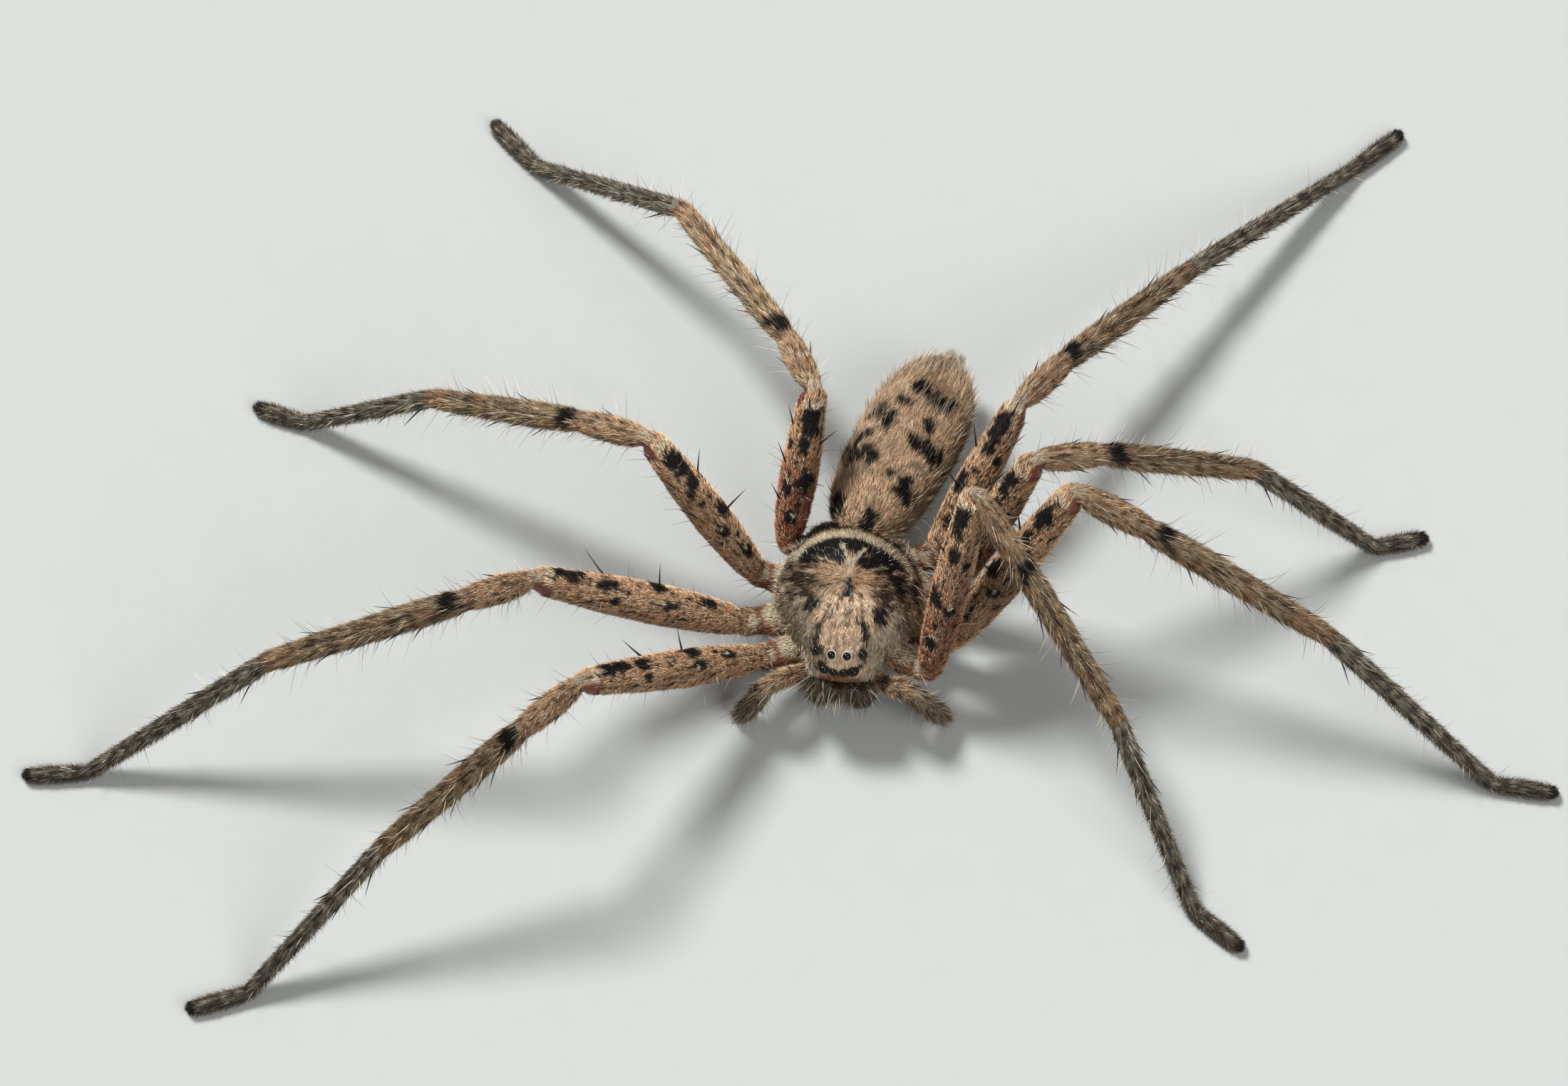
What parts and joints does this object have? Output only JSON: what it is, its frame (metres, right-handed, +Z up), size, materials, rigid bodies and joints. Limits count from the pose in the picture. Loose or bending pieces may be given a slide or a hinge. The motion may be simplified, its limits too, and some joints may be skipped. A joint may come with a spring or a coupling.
{
  "type": "huntsman spider",
  "caption": "life-size still model of a huntsman spider at rest with its long legs spread and its feet flat on the floor",
  "frame": {"origin": "middle of the footprint box, on the floor under the spread feet", "axes": "+X to the spider's left and along the widest spread of the feet, +Y to its rear, +Z up"},
  "size_m": [0.088, 0.0546, 0.0163],
  "materials": {
    "coat": "short tan hair with black spots",
    "belly": "short brown hair",
    "eye": "wet black gloss",
    "fang": "polished black-brown horn"
  },
  "bodies": {
    "root": {"abdomen": "coat", "carapace": "coat", "left_chelicera": "coat", "left_eye_front_middle": "eye", "left_eye_front_side": "eye", "left_eye_rear_middle": "eye", "left_eye_rear_side": "eye", "left_fang": "fang", "left_leg_1_coxa": "coat", "left_leg_1_femur": "coat", "left_leg_1_metatarsus": "coat", "left_leg_1_tarsus": "coat", "left_leg_1_tibia": "coat", "left_leg_2_coxa": "coat", "left_leg_2_femur": "coat", "left_leg_2_metatarsus": "coat", "left_leg_2_tarsus": "coat", "left_leg_2_tibia": "coat", "left_leg_3_coxa": "coat", "left_leg_3_femur": "coat", "left_leg_3_metatarsus": "coat", "left_leg_3_tarsus": "coat", "left_leg_3_tibia": "coat", "left_leg_4_coxa": "coat", "left_leg_4_femur": "coat", "left_leg_4_metatarsus": "coat", "left_leg_4_tarsus": "coat", "left_leg_4_tibia": "coat", "left_palp_base": "coat", "left_palp_tip": "coat", "right_chelicera": "coat", "right_eye_front_middle": "eye", "right_eye_front_side": "eye", "right_eye_rear_middle": "eye", "right_eye_rear_side": "eye", "right_fang": "fang", "right_leg_1_coxa": "coat", "right_leg_1_femur": "coat", "right_leg_1_metatarsus": "coat", "right_leg_1_tarsus": "coat", "right_leg_1_tibia": "coat", "right_leg_2_coxa": "coat", "right_leg_2_femur": "coat", "right_leg_2_metatarsus": "coat", "right_leg_2_tarsus": "coat", "right_leg_2_tibia": "coat", "right_leg_3_coxa": "coat", "right_leg_3_femur": "coat", "right_leg_3_metatarsus": "coat", "right_leg_3_tarsus": "coat", "right_leg_3_tibia": "coat", "right_leg_4_coxa": "coat", "right_leg_4_femur": "coat", "right_leg_4_metatarsus": "coat", "right_leg_4_tarsus": "coat", "right_leg_4_tibia": "coat", "right_palp_base": "coat", "right_palp_tip": "coat", "spinnerets": "belly", "sternum": "belly"}
  },
  "joints": []
}
